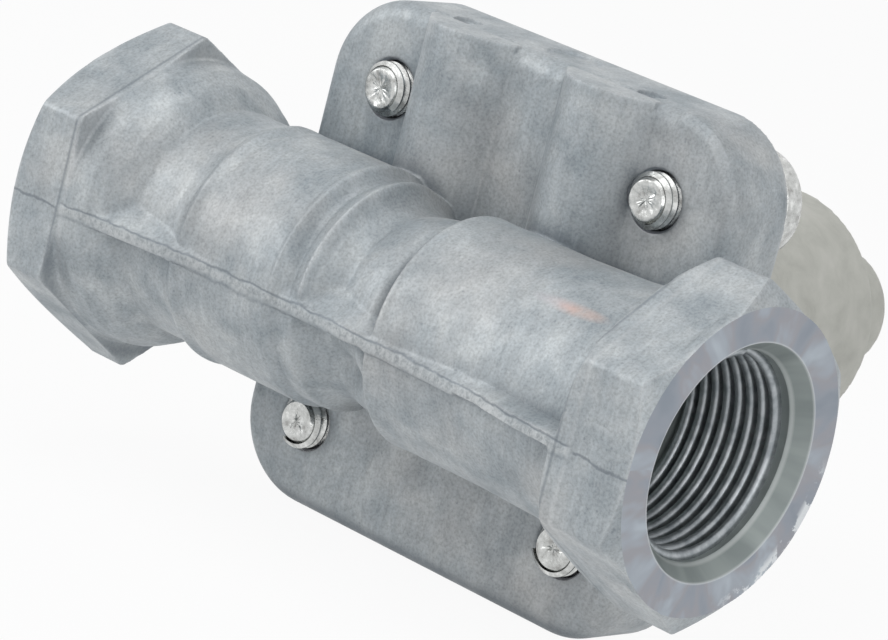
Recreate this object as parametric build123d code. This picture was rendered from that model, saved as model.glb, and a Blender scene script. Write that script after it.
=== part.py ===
from build123d import *
from math import pi, sin, sqrt
import os

# In-line overflow valve with a side bonnet, die cast, in millimetres.
# X is the flow line, Y runs from the flow line to the bonnet end, Z is up.
# The parts are drawn with the flow line and the bonnet axis crossing at zero.
# They are written out with the thread start of the inlet port at the origin.

# Ports, M22 x 1.5, drawn plain at the nominal thread radius
thread_major_r = 11.0
thread_length = 13.0
port_mouth_r = 12.4
port_countersink = 2.2
outlet_face_x = 43.0
inlet_face_x = -44.5

# Hexagonal port ends
flat_half_width = 16.0
corner_half_height = 18.5
inlet_low_corner = 19.3
outlet_flat_half_height = 8.2
inlet_flat_half_height = 9.0
hex_corner_round = 0.8
hex_reach = 19.4
flare_margin = 0.05
flare_cones = 3
outlet_cone_depth = 2.3
outlet_cone_drop = 2.8
inlet_cone_depth = 2.1
inlet_cone_drop = 3.1
outlet_hex_back_x = 35.6
inlet_hex_back_x = -37.5

# Flow tube, radii and the places along the line where they change
outlet_tube_r = 12.7
outlet_tube_start_x = 5.6
outlet_flare_start_x = 19.0
outlet_flare_end_x = 33.2
outlet_flare_sag = 0.8
inlet_tube_r = 12.65
inlet_flare_end_x = -29.6
inlet_flare_start_x = -36.7
inlet_flare_sag = 0.95
barrel_start_x = -24.4
barrel_rise = 3.0
barrel_r = 13.2
barrel_end_x = -8.2
ledge_start_x = -7.2
ledge_r = 12.5
ledge_end_x = -4.8
waist_mid_x = -3.3
waist_mid_r = 10.9
waist_x = -1.4
waist_r = 10.25
bulge_x = 2.2
bulge_r = 11.0
bulge_end_r = 11.1
neck_r = 7.4

# Web left at the parting line
web_thickness = 1.5
web_z = -0.9
web_reaches = [(-38.0, 15.9), (-31.0, 15.0), (-20.0, 13.5), (-6.0, 12.7),
               (8.5, 13.1), (23.0, 13.9), (30.0, 14.9), (36.1, 15.9)]
web_lip = 0.15
web_shelf = 2.4
web_shelf_inset = 2.6

# Flange and the two columns
flange_half = 28.2
flange_corner_r = 9.4
flange_front_y = 9.6
flange_back_y = 19.2
flange_edge_round = 2.2
flange_edge_bevel = 0.9
column_x = 9.65
column_crest_y = 5.3
column_half_width = 6.1
column_crest_half_width = 4.7
column_shoulder_y = 7.9
column_foot_z = 6.0
dimple_x = 12.9
dimple_y = 12.4
dimple_r = 1.5
dimple_depth = 0.6
stamp_y = 14.9
stamp_r = 3.1
stamp_depth = 0.35

# Inner passages of the body
inlet_bore_r = 8.4
inlet_shoulder_x = -22.5
throat_r = 7.6
partition_x = -10.5
check_hole_r = 4.2
outlet_bore_r = 8.0
cross_bore_r = 5.2
seat_y = 16.6
seat_wall = 1.8
chamber_r = 17.0
chamber_floor_y = 12.6
link_hole_x = -13.9
link_hole_r = 3.0
link_hole_start_y = 4.0

# Diaphragm
diaphragm_web = 1.2
diaphragm_centre = 2.0
diaphragm_disc_r = 13.0
diaphragm_roll = 1.2
diaphragm_edge = 0.8
bead_inner_r = 18.7
bead_outer_r = 21.2
bead_depth = 2.0

# Bonnet
bonnet_flange_half = 25.4
bonnet_flange_corner_r = 6.8
bonnet_flange_thickness = 3.1
bonnet_base_r = 18.6
bonnet_shoulder_y = 36.0
bonnet_shoulder_r = 14.9
bonnet_end_y = 62.3
bonnet_end_r = 14.0
bonnet_rim_bevel = 0.6
bonnet_wall = 2.6
bonnet_mouth_r = 16.0
boss_r = 7.0
boss_end_y = 75.0
boss_blend = 1.6
boss_rim_bevel = 0.6
vent_r = 1.2
vent_y = 46.0

# Cover screws M6 x 16 with spring washers
screw_half_pitch = 18.74
screw_r = 2.95
screw_length = 16.0
screw_tip_chamfer = 0.6
screw_head_r = 6.0
screw_head_height = 3.9
screw_head_bevel = 1.2
screw_socket_r = 2.3
screw_socket_depth = 2.2
screw_hole_r = 3.0
screw_hole_chamfer = 0.3
cover_hole_r = 3.25
washer_r = 5.9
washer_hole_r = 3.1
washer_thickness = 1.6
washer_slot = 0.9
washer_slot_tilt = 20.0

# Piston, main spring and adjustment
piston_r = 12.4
piston_thickness = 2.2
piston_hub_r = 6.6
piston_hub_height = 5.0
piston_edge_chamfer = 0.4
spring_wire_r = 1.15
spring_mean_r = 9.1
spring_turns = 4.5
spring_wire_flats = 6
cup_y = 52.2
cup_r = 10.9
cup_thickness = 1.8
cup_hub_r = 7.5
cup_hub_height = 4.0
adjuster_r = 4.95
adjuster_length = 15.0
adjuster_chamfer = 0.7
adjuster_socket_r = 2.9
adjuster_socket_depth = 5.0
boss_thread_r = 5.0
plug_r = 5.9
plug_depth = 2.6
plug_crown = 0.5
plug_crown_r = 5.0

# Return check valve in the inlet bore
poppet_r = 6.3
poppet_thickness = 1.8
poppet_pip_r = 3.3
poppet_pip_height = 0.8
poppet_stem_r = 1.9
poppet_stem_length = 11.0
check_seal_thickness = 1.0
check_wire_r = 0.35
check_spring_r = 2.9
check_turns = 3.0
check_wire_flats = 4
guide_thickness = 2.4
guide_hub_r = 3.6
guide_hub_length = 4.4
guide_window_r = 1.9
guide_window_pitch_r = 6.0
guide_windows = 4
ring_thickness = 1.0
ring_depth = 0.7
ring_inner_r = 7.3
ring_gap = 3.0

# Named clearances
running_clearance = 0.05
fit_clearance = 0.02
ring_clearance = 0.1

# How far a cutter or a buried end runs past its face, and how closely an edge is looked for
overrun = 1.0
edge_tolerance = 0.01
edge_margin = 0.1

# The thread start of the inlet port becomes the origin
shift_x = -(inlet_face_x + port_countersink)


def turned(points, axis):
    """Solid of revolution from a closed outline."""
    return revolve(make_face(Polyline(*points, close=True)), axis)


def rod_x(x_from, x_to, r):
    """Round bar along X."""
    return Pos((x_from + x_to) / 2, 0, 0) * Rot(0, 90, 0) * Cylinder(r, abs(x_to - x_from))


def rod_y(y_from, y_to, r, x=0.0, z=0.0):
    """Round bar along Y."""
    return Pos(x, (y_from + y_to) / 2, z) * Rot(90, 0, 0) * Cylinder(r, abs(y_to - y_from))


def sleeve_x(x_from, x_to, outer_r, inner_r):
    """Ring along X."""
    return rod_x(x_from, x_to, outer_r) - rod_x(x_from - overrun, x_to + overrun, inner_r)


def sleeve_y(y_from, y_to, outer_r, inner_r):
    """Ring along Y."""
    return rod_y(y_from, y_to, outer_r) - rod_y(y_from - overrun, y_to + overrun, inner_r)


def square_plate(y_from, y_to, half, corner_r):
    """Square plate with round corners, lying across Y."""
    outline = Plane.XZ.offset(-y_to) * RectangleRounded(2 * half, 2 * half, corner_r)
    return extrude(outline, y_to - y_from)


def screw_places():
    """The four screw axes, top left first."""
    return [(sx * screw_half_pitch, sz * screw_half_pitch) for sz in (1, -1) for sx in (-1, 1)]


def ring_edges(solid, r, y):
    """Round edges of one radius at one height of a part turned about a line along Y."""
    round_edges = solid.edges().filter_by(GeomType.CIRCLE)
    near = [e for e in round_edges if abs(e.center().Y - y) < edge_tolerance]
    return [e for e in near if abs(e.radius - r) < edge_tolerance]


def hexagon(x_from, x_to, flat_half_height, low_corner):
    """Prism with two upright flats, a corner up and one down, running past both ends."""
    outline = Polyline(
        (-flat_half_width, flat_half_height),
        (0, corner_half_height),
        (flat_half_width, flat_half_height),
        (flat_half_width, -flat_half_height),
        (0, -low_corner),
        (-flat_half_width, -flat_half_height),
        close=True,
    )
    face = make_face(outline)
    face = fillet(face.vertices(), hex_corner_round)
    return extrude(Plane.YZ.offset(x_from - overrun) * face, x_to - x_from + 2 * overrun)


def flare_points(start, end, sag):
    """Points along a shallow arc, which turn into the few cones of a hollow flare."""
    arc = SagittaArc(start, end, sag)
    places = [arc @ (i / flare_cones) for i in range(flare_cones + 1)]
    return [(place.X, place.Y) for place in places]


def inlet_end():
    """Inlet hexagon with an end cone and a hollow flare to the tube."""
    start = (inlet_flare_start_x, flat_half_width + flare_margin)
    end = (inlet_flare_end_x, inlet_tube_r)
    spool = turned([
        (inlet_flare_end_x, 0),
        (inlet_face_x, 0),
        (inlet_face_x, hex_reach - inlet_cone_drop),
        (inlet_face_x + inlet_cone_depth, hex_reach),
        (inlet_hex_back_x, hex_reach),
        *flare_points(start, end, inlet_flare_sag),
    ], Axis.X)
    prism = hexagon(inlet_face_x, inlet_flare_end_x, inlet_flat_half_height, inlet_low_corner)
    return spool & prism


def outlet_end():
    """Outlet hexagon with an end cone and a gentle flare to the tube."""
    start = (outlet_flare_end_x, flat_half_width + flare_margin)
    end = (outlet_flare_start_x, outlet_tube_r)
    spool = turned([
        (outlet_flare_start_x, 0),
        (outlet_face_x, 0),
        (outlet_face_x, hex_reach - outlet_cone_drop),
        (outlet_face_x - outlet_cone_depth, hex_reach),
        (outlet_hex_back_x, hex_reach),
        *flare_points(start, end, -outlet_flare_sag),
    ], Axis.X)
    prism = hexagon(outlet_flare_start_x, outlet_face_x, outlet_flat_half_height, corner_half_height)
    return spool & prism


def tube():
    """Stepped flow tube between the two hexagons, turned as one profile."""
    start_x = inlet_flare_end_x - overrun
    end_x = outlet_flare_start_x + overrun
    low = Polyline(
        (start_x, 0),
        (start_x, inlet_tube_r),
        (barrel_start_x, inlet_tube_r),
        (barrel_start_x + barrel_rise, barrel_r),
        (barrel_end_x, barrel_r),
        (ledge_start_x, ledge_r),
        (ledge_end_x, ledge_r),
    )
    hollow = ThreePointArc((ledge_end_x, ledge_r), (waist_mid_x, waist_mid_r), (waist_x, waist_r))
    bulge = ThreePointArc((waist_x, waist_r), (bulge_x, bulge_r), (outlet_tube_start_x, bulge_end_r))
    outlet = Polyline(
        (outlet_tube_start_x, bulge_end_r),
        (outlet_tube_start_x, outlet_tube_r),
        (end_x, outlet_tube_r),
        (end_x, 0),
        (start_x, 0),
    )
    return revolve(make_face(low + hollow + bulge + outlet), Axis.X)


def web_outline(inset):
    """Outline of the web seen along Z, pulled in by the inset."""
    front = [(x, inset - reach) for x, reach in web_reaches]
    rear = [(x, reach - inset) for x, reach in reversed(web_reaches)]
    return make_face(Polyline(*front, *rear, close=True))


def web():
    """Thin web at the parting line with a sloping shelf on its upper side."""
    low = web_z - web_thickness / 2
    high = web_z + web_thickness / 2
    plate = extrude(Pos(0, 0, low) * web_outline(0), web_thickness)
    wide = Pos(0, 0, high) * web_outline(web_lip)
    narrow = Pos(0, 0, high + web_shelf) * web_outline(web_shelf_inset)
    return plate + loft([wide, narrow], ruled=True)


def flange():
    """Square flange: round front edge low and left, small bevel on the right, sharp on top."""
    plate = square_plate(flange_front_y, flange_back_y, flange_half, flange_corner_r)
    front = plate.faces().sort_by(Axis.Y)[0]
    rim = [e for e in front.edges() if e.center().Z < flange_half - edge_margin]
    soft = fillet(rim, flange_edge_round)
    crisp = chamfer(rim, flange_edge_bevel)
    inner = flange_half - flange_corner_r
    size = 4 * flange_half
    right = Pos(inner + size / 2, 0, size / 2 - inner) * Box(size, size, size)
    return (soft - right) + (crisp & right)


def column(x):
    """Half-round column on the flange, from the top face down to the tube."""
    left = Line((x - column_half_width, flange_front_y), (x - column_crest_half_width, column_shoulder_y))
    crest = ThreePointArc(
        (x - column_crest_half_width, column_shoulder_y),
        (x, column_crest_y),
        (x + column_crest_half_width, column_shoulder_y),
    )
    rest = Polyline(
        (x + column_crest_half_width, column_shoulder_y),
        (x + column_half_width, flange_front_y),
        (x + column_half_width, flange_front_y + overrun),
        (x - column_half_width, flange_front_y + overrun),
        (x - column_half_width, flange_front_y),
    )
    outline = make_face(left + crest + rest)
    return extrude(Pos(0, 0, column_foot_z) * outline, flange_half - column_foot_z)


def port(face_x, way_in):
    """Countersunk and threaded mouth of a port; way_in is the sign of the way in."""
    start = face_x + way_in * port_countersink
    end = start + way_in * thread_length
    return turned([(face_x, 0), (face_x, port_mouth_r), (start, thread_major_r),
                   (end, thread_major_r), (end, 0)], Axis.X)


def bores():
    """Flow bores, check seat hole, diaphragm chamber and bead groove."""
    back = flange_back_y
    cut = port(inlet_face_x, 1) + port(outlet_face_x, -1)
    cut += rod_x(inlet_face_x + overrun, inlet_shoulder_x, inlet_bore_r)
    cut += rod_x(inlet_face_x + overrun, partition_x, throat_r)
    cut += rod_x(partition_x - overrun, 0, check_hole_r)
    cut += rod_x(0, outlet_face_x - overrun, outlet_bore_r)
    cut += rod_y(0, back + overrun, cross_bore_r)
    cut += rod_y(link_hole_start_y, chamber_floor_y + overrun, link_hole_r, x=link_hole_x)
    seat_wall_r = cross_bore_r + seat_wall
    cut += turned([(0, back + overrun), (chamber_r, back + overrun), (chamber_r, chamber_floor_y),
                   (seat_wall_r, chamber_floor_y), (seat_wall_r, seat_y), (0, seat_y)], Axis.Y)
    cut += sleeve_y(back - bead_depth, back + overrun, bead_outer_r, bead_inner_r)
    cut += rod_y(back - diaphragm_web, back + overrun, bead_inner_r)
    ring_x = inlet_shoulder_x - guide_thickness
    cut += rod_x(ring_x - ring_thickness - fit_clearance, ring_x, inlet_bore_r + ring_depth)
    return cut


def valve_body():
    """Die-cast body: ports, tube, web, flange, columns and valve seat in one piece."""
    body = tube() + inlet_end() + outlet_end() + web() + flange()
    body += rod_y(0, flange_front_y + overrun, neck_r)
    body += column(-column_x) + column(column_x)
    body -= bores()
    for x, z in screw_places():
        mouth = flange_front_y + screw_hole_chamfer
        body -= rod_y(flange_front_y - overrun, flange_back_y + overrun, screw_hole_r, x, z)
        body -= rod_y(flange_front_y - overrun, mouth, screw_hole_r + screw_hole_chamfer, x, z)
    for side in (-1, 1):
        body -= Pos(side * dimple_x, dimple_y, flange_half) * Cylinder(dimple_r, 2 * dimple_depth)
    body -= Pos(0, stamp_y, flange_half) * Cylinder(stamp_r, 2 * stamp_depth)
    return body


def diaphragm():
    """Rubber diaphragm: bead in its groove, rolled web, thick centre on the seat."""
    back = flange_back_y - fit_clearance
    front = flange_back_y - diaphragm_web + fit_clearance
    groove = flange_back_y - bead_depth + fit_clearance
    low = seat_y
    high = seat_y + diaphragm_centre
    roll_in = diaphragm_disc_r
    roll_out = bonnet_mouth_r - ring_clearance
    middle = (roll_in + roll_out) / 2
    return turned([
        (0, low),
        (roll_in - diaphragm_edge, low),
        (roll_in, high - diaphragm_web),
        (middle, high - diaphragm_web + diaphragm_roll),
        (roll_out, front),
        (bead_inner_r + fit_clearance, front),
        (bead_inner_r + fit_clearance, groove),
        (bead_outer_r - fit_clearance, groove),
        (bead_outer_r - fit_clearance, back),
        (roll_out, back),
        (middle, high + diaphragm_roll),
        (roll_in, high),
        (0, high),
    ], Axis.Y)


def bonnet():
    """Cast spring housing: clamped flange, cone, barrel and the threaded end boss."""
    y0 = flange_back_y
    y1 = y0 + bonnet_flange_thickness
    outer = turned([
        (0, y0),
        (bonnet_base_r, y0),
        (bonnet_base_r, y1),
        (bonnet_shoulder_r, bonnet_shoulder_y),
        (bonnet_end_r, bonnet_end_y - bonnet_rim_bevel),
        (bonnet_end_r - bonnet_rim_bevel, bonnet_end_y),
        (boss_r + boss_blend, bonnet_end_y),
        (boss_r, bonnet_end_y + boss_blend),
        (boss_r, boss_end_y - boss_rim_bevel),
        (boss_r - boss_rim_bevel, boss_end_y),
        (0, boss_end_y),
    ], Axis.Y)
    shell = square_plate(y0, y1, bonnet_flange_half, bonnet_flange_corner_r) + outer
    inner_end_y = bonnet_end_y - bonnet_wall
    shell -= turned([(0, y0 - overrun), (bonnet_mouth_r, y0 - overrun), (bonnet_mouth_r, y1),
                     (bonnet_shoulder_r - bonnet_wall, bonnet_shoulder_y),
                     (bonnet_end_r - bonnet_wall, inner_end_y), (0, inner_end_y)], Axis.Y)
    shell -= rod_y(inner_end_y - overrun, boss_end_y + overrun, boss_thread_r)
    shell -= rod_y(boss_end_y - plug_depth, boss_end_y + overrun, plug_r)
    shell -= Pos(0, vent_y, -bonnet_end_r) * Cylinder(vent_r, bonnet_end_r)
    for x, z in screw_places():
        shell -= rod_y(y0 - overrun, y1 + overrun, cover_hole_r, x, z)
    return shell


def cover_screw(x, z):
    """Pan-head screw whose tip stands out of the front of the flange."""
    seat = flange_back_y + bonnet_flange_thickness + washer_thickness
    tip = seat - screw_length
    top = seat + screw_head_height
    shank = rod_y(tip, seat, screw_r)
    shank = chamfer(ring_edges(shank, screw_r, tip), screw_tip_chamfer)
    head = rod_y(seat, top, screw_head_r)
    head = chamfer(ring_edges(head, screw_head_r, top), screw_head_bevel)
    socket = extrude(Plane.XZ.offset(-top) * RegularPolygon(screw_socket_r, 6), screw_socket_depth)
    return Pos(x, 0, z) * (shank + head - socket)


def lock_washer(x, z):
    """Split spring washer under a screw head."""
    y0 = flange_back_y + bonnet_flange_thickness
    y1 = y0 + washer_thickness
    ring = sleeve_y(y0, y1, washer_r, washer_hole_r)
    slot = Rot(0, 0, washer_slot_tilt) * Box(washer_slot, 4 * washer_thickness, washer_r)
    ring -= Pos(0, (y0 + y1) / 2, (washer_r + washer_hole_r) / 2) * slot
    return Pos(x, 0, z) * ring


def coil(mean_r, wire_r, length, turns, flats):
    """Spring along Z from zero to its length, its wire drawn with flats of the same area."""
    flat_r = wire_r * sqrt(2 * pi / (flats * sin(2 * pi / flats)))
    rise = length - 2 * flat_r
    path = Pos(0, 0, flat_r) * Helix(rise / turns, rise, mean_r)
    section = Plane(path @ 0, z_dir=path % 0) * RegularPolygon(flat_r, flats)
    return sweep(section, path)


def piston():
    """Plate that the main spring presses on the diaphragm, with a centring hub."""
    y0 = seat_y + diaphragm_centre
    y1 = y0 + piston_thickness
    top = y1 + piston_hub_height
    body = rod_y(y0, y1, piston_r) + rod_y(y1, top, piston_hub_r)
    body = chamfer(ring_edges(body, piston_hub_r, top), piston_edge_chamfer)
    return chamfer(ring_edges(body, piston_r, y0), piston_edge_chamfer)


def main_spring():
    """Spring between the piston plate and the spring cup."""
    start = seat_y + diaphragm_centre + piston_thickness
    wound = coil(spring_mean_r, spring_wire_r, cup_y - start, spring_turns, spring_wire_flats)
    return Pos(0, start, 0) * Rot(-90, 0, 0) * wound


def spring_cup():
    """Upper spring plate pushed by the adjusting screw."""
    top = cup_y + cup_thickness
    low = cup_y - cup_hub_height
    body = rod_y(cup_y, top, cup_r) + rod_y(low, cup_y, cup_hub_r)
    body = chamfer(ring_edges(body, cup_r, top), piston_edge_chamfer)
    return chamfer(ring_edges(body, cup_hub_r, low), piston_edge_chamfer)


def adjusting_screw():
    """Socket set screw in the end boss of the bonnet."""
    y0 = cup_y + cup_thickness
    y1 = y0 + adjuster_length
    body = rod_y(y0, y1, adjuster_r)
    body = chamfer(ring_edges(body, adjuster_r, y0) + ring_edges(body, adjuster_r, y1), adjuster_chamfer)
    socket = Plane.XZ.offset(-y1) * RegularPolygon(adjuster_socket_r, 6)
    return body - extrude(socket, adjuster_socket_depth)


def end_plug():
    """Plug that closes the end boss over the adjusting screw."""
    y0 = boss_end_y - plug_depth
    radius = plug_r - fit_clearance
    return turned([(0, y0), (radius, y0), (radius, boss_end_y), (plug_crown_r, boss_end_y + plug_crown),
                   (0, boss_end_y + plug_crown)], Axis.Y)


def check_poppet():
    """Poppet of the return check valve, seal pip in front and stem behind."""
    front = partition_x - check_seal_thickness
    back = front - poppet_thickness
    body = rod_x(back, front, poppet_r)
    body += rod_x(front, front + poppet_pip_height, poppet_pip_r)
    return body + rod_x(back - poppet_stem_length, back, poppet_stem_r)


def check_seal():
    """Rubber ring between the poppet and the seat on the partition."""
    x0 = partition_x - check_seal_thickness
    return sleeve_x(x0, partition_x, poppet_r, poppet_pip_r + fit_clearance)


def check_spring():
    """Light spring that keeps the check poppet shut."""
    end = partition_x - check_seal_thickness - poppet_thickness
    length = end - inlet_shoulder_x
    wound = coil(check_spring_r, check_wire_r, length, check_turns, check_wire_flats)
    return Pos(inlet_shoulder_x, 0, 0) * Rot(0, 90, 0) * wound


def check_guide():
    """Round guide with windows for the flow and a bored hub for the stem."""
    x1 = inlet_shoulder_x
    x0 = x1 - guide_thickness
    body = rod_x(x0, x1, inlet_bore_r - fit_clearance) + rod_x(x1 - guide_hub_length, x1, guide_hub_r)
    body -= rod_x(x1 - guide_hub_length - overrun, x1 + overrun, poppet_stem_r + running_clearance)
    for i in range(guide_windows):
        window = Pos(0, 0, guide_window_pitch_r) * rod_x(x0 - overrun, x1 + overrun, guide_window_r)
        body -= Rot(360 / guide_windows * i, 0, 0) * window
    return body


def retaining_ring():
    """Split ring in the groove behind the check guide."""
    x1 = inlet_shoulder_x - guide_thickness
    x0 = x1 - ring_thickness
    body = sleeve_x(x0, x1, inlet_bore_r + ring_depth - ring_clearance, ring_inner_r)
    return body - Pos((x0 + x1) / 2, 0, -inlet_bore_r) * Box(4 * ring_thickness, ring_gap, inlet_bore_r)


def export(solid, name):
    """Write one part in the shared frame."""
    export_step(Pos(shift_x, 0, 0) * solid, "parts/" + name + ".step")


def build():
    os.makedirs("parts", exist_ok=True)
    export(valve_body(), "valve_body")
    export(bonnet(), "bonnet")
    export(diaphragm(), "diaphragm")
    export(piston(), "piston")
    export(main_spring(), "main_spring")
    export(spring_cup(), "spring_cup")
    export(adjusting_screw(), "adjusting_screw")
    export(end_plug(), "end_plug")
    export(check_poppet(), "check_poppet")
    export(check_seal(), "check_seal")
    export(check_spring(), "check_spring")
    export(check_guide(), "check_guide")
    export(retaining_ring(), "retaining_ring")
    for number, (x, z) in enumerate(screw_places(), 1):
        export(cover_screw(x, z), "cover_screw_" + str(number))
        export(lock_washer(x, z), "lock_washer_" + str(number))


build()
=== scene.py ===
import math
import bmesh
import bpy
import numpy as np
from mathutils import Matrix, Quaternion, Vector


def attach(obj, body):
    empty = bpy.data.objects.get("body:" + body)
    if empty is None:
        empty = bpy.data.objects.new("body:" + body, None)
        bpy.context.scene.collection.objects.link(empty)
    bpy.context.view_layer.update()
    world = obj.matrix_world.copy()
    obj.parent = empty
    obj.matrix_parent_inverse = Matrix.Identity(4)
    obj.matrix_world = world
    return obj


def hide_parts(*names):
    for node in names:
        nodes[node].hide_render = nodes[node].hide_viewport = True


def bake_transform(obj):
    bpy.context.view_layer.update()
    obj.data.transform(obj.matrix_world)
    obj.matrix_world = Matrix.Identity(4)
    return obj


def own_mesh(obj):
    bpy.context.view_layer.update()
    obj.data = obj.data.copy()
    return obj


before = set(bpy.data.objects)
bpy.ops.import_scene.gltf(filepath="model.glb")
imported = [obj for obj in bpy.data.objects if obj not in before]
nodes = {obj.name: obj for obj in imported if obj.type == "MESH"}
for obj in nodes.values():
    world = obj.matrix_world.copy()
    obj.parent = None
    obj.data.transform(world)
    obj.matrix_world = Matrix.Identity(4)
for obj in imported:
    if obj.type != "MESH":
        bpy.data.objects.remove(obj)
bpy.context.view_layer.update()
mm = 0.001

valve = {  # where things are on the valve, in millimetres, X from the inlet thread start
    "bonnetAxisX": 42.3,
    "inletFaceX": -2.2,
    "outletFaceX": 85.3,
    "threadStartDepth": 2.2,
    "threadLength": 13.0,
    "mouthR": 12.4,
    "threadR": 11.0,
    "partingZ": -0.9,
    "flangeFrontY": 9.6,
    "flangeTopZ": 28.2,
    "screwHalfPitch": 18.74,
}


def millimetres(*numbers):
    return Vector([n * mm for n in numbers])


def linkNew(name, mesh):
    made = bpy.data.objects.new(name, mesh)
    bpy.context.scene.collection.objects.link(made)
    return made


def dropObject(thing):
    mesh = thing.data
    bpy.data.objects.remove(thing)
    if mesh and mesh.users == 0:
        bpy.data.meshes.remove(mesh)


def bakeModifiers(thing):  # the evaluated shape becomes the object's plain mesh
    bpy.context.view_layer.update()
    depsgraph = bpy.context.evaluated_depsgraph_get()
    mesh = bpy.data.meshes.new_from_object(thing.evaluated_get(depsgraph))
    old = thing.data
    thing.modifiers.clear()
    thing.data = mesh
    if old.users == 0:
        bpy.data.meshes.remove(old)
    return thing


def meshFromBm(name, work):
    mesh = bpy.data.meshes.new(name)
    work.to_mesh(mesh)
    work.free()
    return mesh


def turnedShape(work, profile, axis, segments, centre=(0, 0, 0)):
    # a closed solid of revolution; profile is (along, radius) in millimetres, both ends on the axis
    rings = []
    for along, radius, *shape in profile:  # a third entry makes that ring a hexagon
        ring = []
        hexagonal = len(shape) > 0
        count = 1 if radius < 1e-6 else segments
        for i in range(count):
            angle = 2 * math.pi * i / segments
            reach = radius
            if hexagonal:
                reach *= math.cos(math.pi / 6) / math.cos(angle % (math.pi / 3) - math.pi / 6)
            u, v = reach * math.cos(angle), reach * math.sin(angle)
            place = (along, u, v) if axis == "x" else (v, along, u)
            ring.append(work.verts.new(millimetres(*(p + c for p, c in zip(place, centre)))))
        rings.append(ring)
    for low, high in zip(rings, rings[1:]):
        for i in range(segments):
            j = (i + 1) % segments
            corners = [low[i % len(low)], low[j % len(low)], high[j % len(high)], high[i % len(high)]]
            unique = []
            for corner in corners:
                if corner not in unique:
                    unique.append(corner)
            if len(unique) > 2:
                work.faces.new(unique)
    return rings


def outward(work):
    bmesh.ops.remove_doubles(work, verts=work.verts, dist=1e-7)
    bmesh.ops.recalc_face_normals(work, faces=work.faces)


# Shaders

def putNode(tree, kind, inputs=None, **settings):
    made = tree.nodes.new(kind)
    for name, value in settings.items():
        setattr(made, name, value)
    for name, value in (inputs or {}).items():
        if isinstance(value, bpy.types.NodeSocket):
            tree.links.new(value, made.inputs[name])
        else:
            made.inputs[name].default_value = value
    return made


def mathNode(tree, operation, *values):
    made = putNode(tree, "ShaderNodeMath", dict(enumerate(values)), operation=operation)
    return made.outputs[0]


def rampNode(tree, factor, stops):
    made = putNode(tree, "ShaderNodeValToRGB", {"Fac": factor})
    ramp = made.color_ramp
    while len(ramp.elements) < len(stops):
        ramp.elements.new(0.5)
    for element, (place, colour) in zip(ramp.elements, stops):
        element.position = place
        element.color = (*colour, 1) if len(colour) == 3 else colour
    return made.outputs["Color"]


def mixColour(tree, factor, first, second, blend="MIX"):
    made = tree.nodes.new("ShaderNodeMix")
    made.data_type = "RGBA"
    made.blend_type = blend
    for socket, value in zip((made.inputs[0], made.inputs[6], made.inputs[7]), (factor, first, second)):
        if isinstance(value, bpy.types.NodeSocket):
            tree.links.new(value, socket)
        else:
            socket.default_value = value if isinstance(value, float) else (*value, 1)
    return made.outputs[2]


def noiseNode(tree, vector, scale, detail=2.0, roughness=0.5, distortion=0.0):
    made = putNode(tree, "ShaderNodeTexNoise", {
        "Vector": vector, "Scale": scale, "Detail": detail, "Roughness": roughness, "Distortion": distortion})
    return made.outputs["Fac"]


def newGroup(name, inputs, outputs):
    group = bpy.data.node_groups.new(name, "ShaderNodeTree")
    for label, value in inputs:
        kind = "NodeSocketVector" if label == "Vector" else "NodeSocketFloat"
        socket = group.interface.new_socket(label, in_out="INPUT", socket_type=kind)
        if value is not None:
            socket.default_value = value
    for label in outputs:
        group.interface.new_socket(label, in_out="OUTPUT", socket_type="NodeSocketFloat")
    return group, group.nodes.new("NodeGroupInput"), group.nodes.new("NodeGroupOutput")


def makeCastSkin():  # mottled as-cast surface: cloudy patches, fine grain and small pits
    group, given, result = newGroup(
        "castSkin",
        [("Vector", None), ("Patch Scale", 220.0), ("Grain Scale", 3200.0), ("Pit Amount", 0.5)],
        ["Patches", "Grain", "Height"])
    place = given.outputs["Vector"]
    patches = noiseNode(group, place, given.outputs["Patch Scale"], 6.0, 0.62, 0.3)
    grain = noiseNode(group, place, given.outputs["Grain Scale"], 3.0, 0.6)
    pitScale = mathNode(group, "MULTIPLY", given.outputs["Grain Scale"], 0.4)
    pits = putNode(group, "ShaderNodeTexVoronoi", {"Vector": place, "Scale": pitScale}).outputs["Distance"]
    pitMask = mathNode(group, "LESS_THAN", pits, mathNode(group, "MULTIPLY", given.outputs["Pit Amount"], 0.24))
    height = mathNode(group, "SUBTRACT", grain, mathNode(group, "MULTIPLY", pitMask, 0.35))
    group.links.new(patches, result.inputs["Patches"])
    group.links.new(grain, result.inputs["Grain"])
    group.links.new(height, result.inputs["Height"])
    return group


def makeHollowShadeAndEdgeHighlight():  # painted shade in hollows and painted highlight on outer edges: how far a point lies in a hollow, and how far on an outer edge
    group, given, result = newGroup(
        "hollowShadeAndEdgeHighlight", [("Vector", None), ("Hollow Reach", 0.0024), ("Edge Reach", 0.0007)], ["Edge", "Hollow"])
    breakup = noiseNode(group, given.outputs["Vector"], 700.0, 4.0, 0.7)
    around = putNode(group, "ShaderNodeAmbientOcclusion", {"Distance": given.outputs["Hollow Reach"]}, samples=6)
    hollow = putNode(group, "ShaderNodeMapRange", {
        "Value": around.outputs["AO"], "From Min": 0.93, "From Max": 0.45}).outputs["Result"]
    within = putNode(group, "ShaderNodeAmbientOcclusion", {"Distance": given.outputs["Edge Reach"]},
                     samples=6, inside=True)
    edge = putNode(group, "ShaderNodeMapRange", {
        "Value": within.outputs["AO"], "From Min": 0.9, "From Max": 0.4}).outputs["Result"]
    group.links.new(mathNode(group, "MULTIPLY", edge, breakup), result.inputs["Edge"])
    group.links.new(hollow, result.inputs["Hollow"])
    return group


castSkin = makeCastSkin()
hollowShadeAndEdgeHighlight = makeHollowShadeAndEdgeHighlight()


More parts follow.
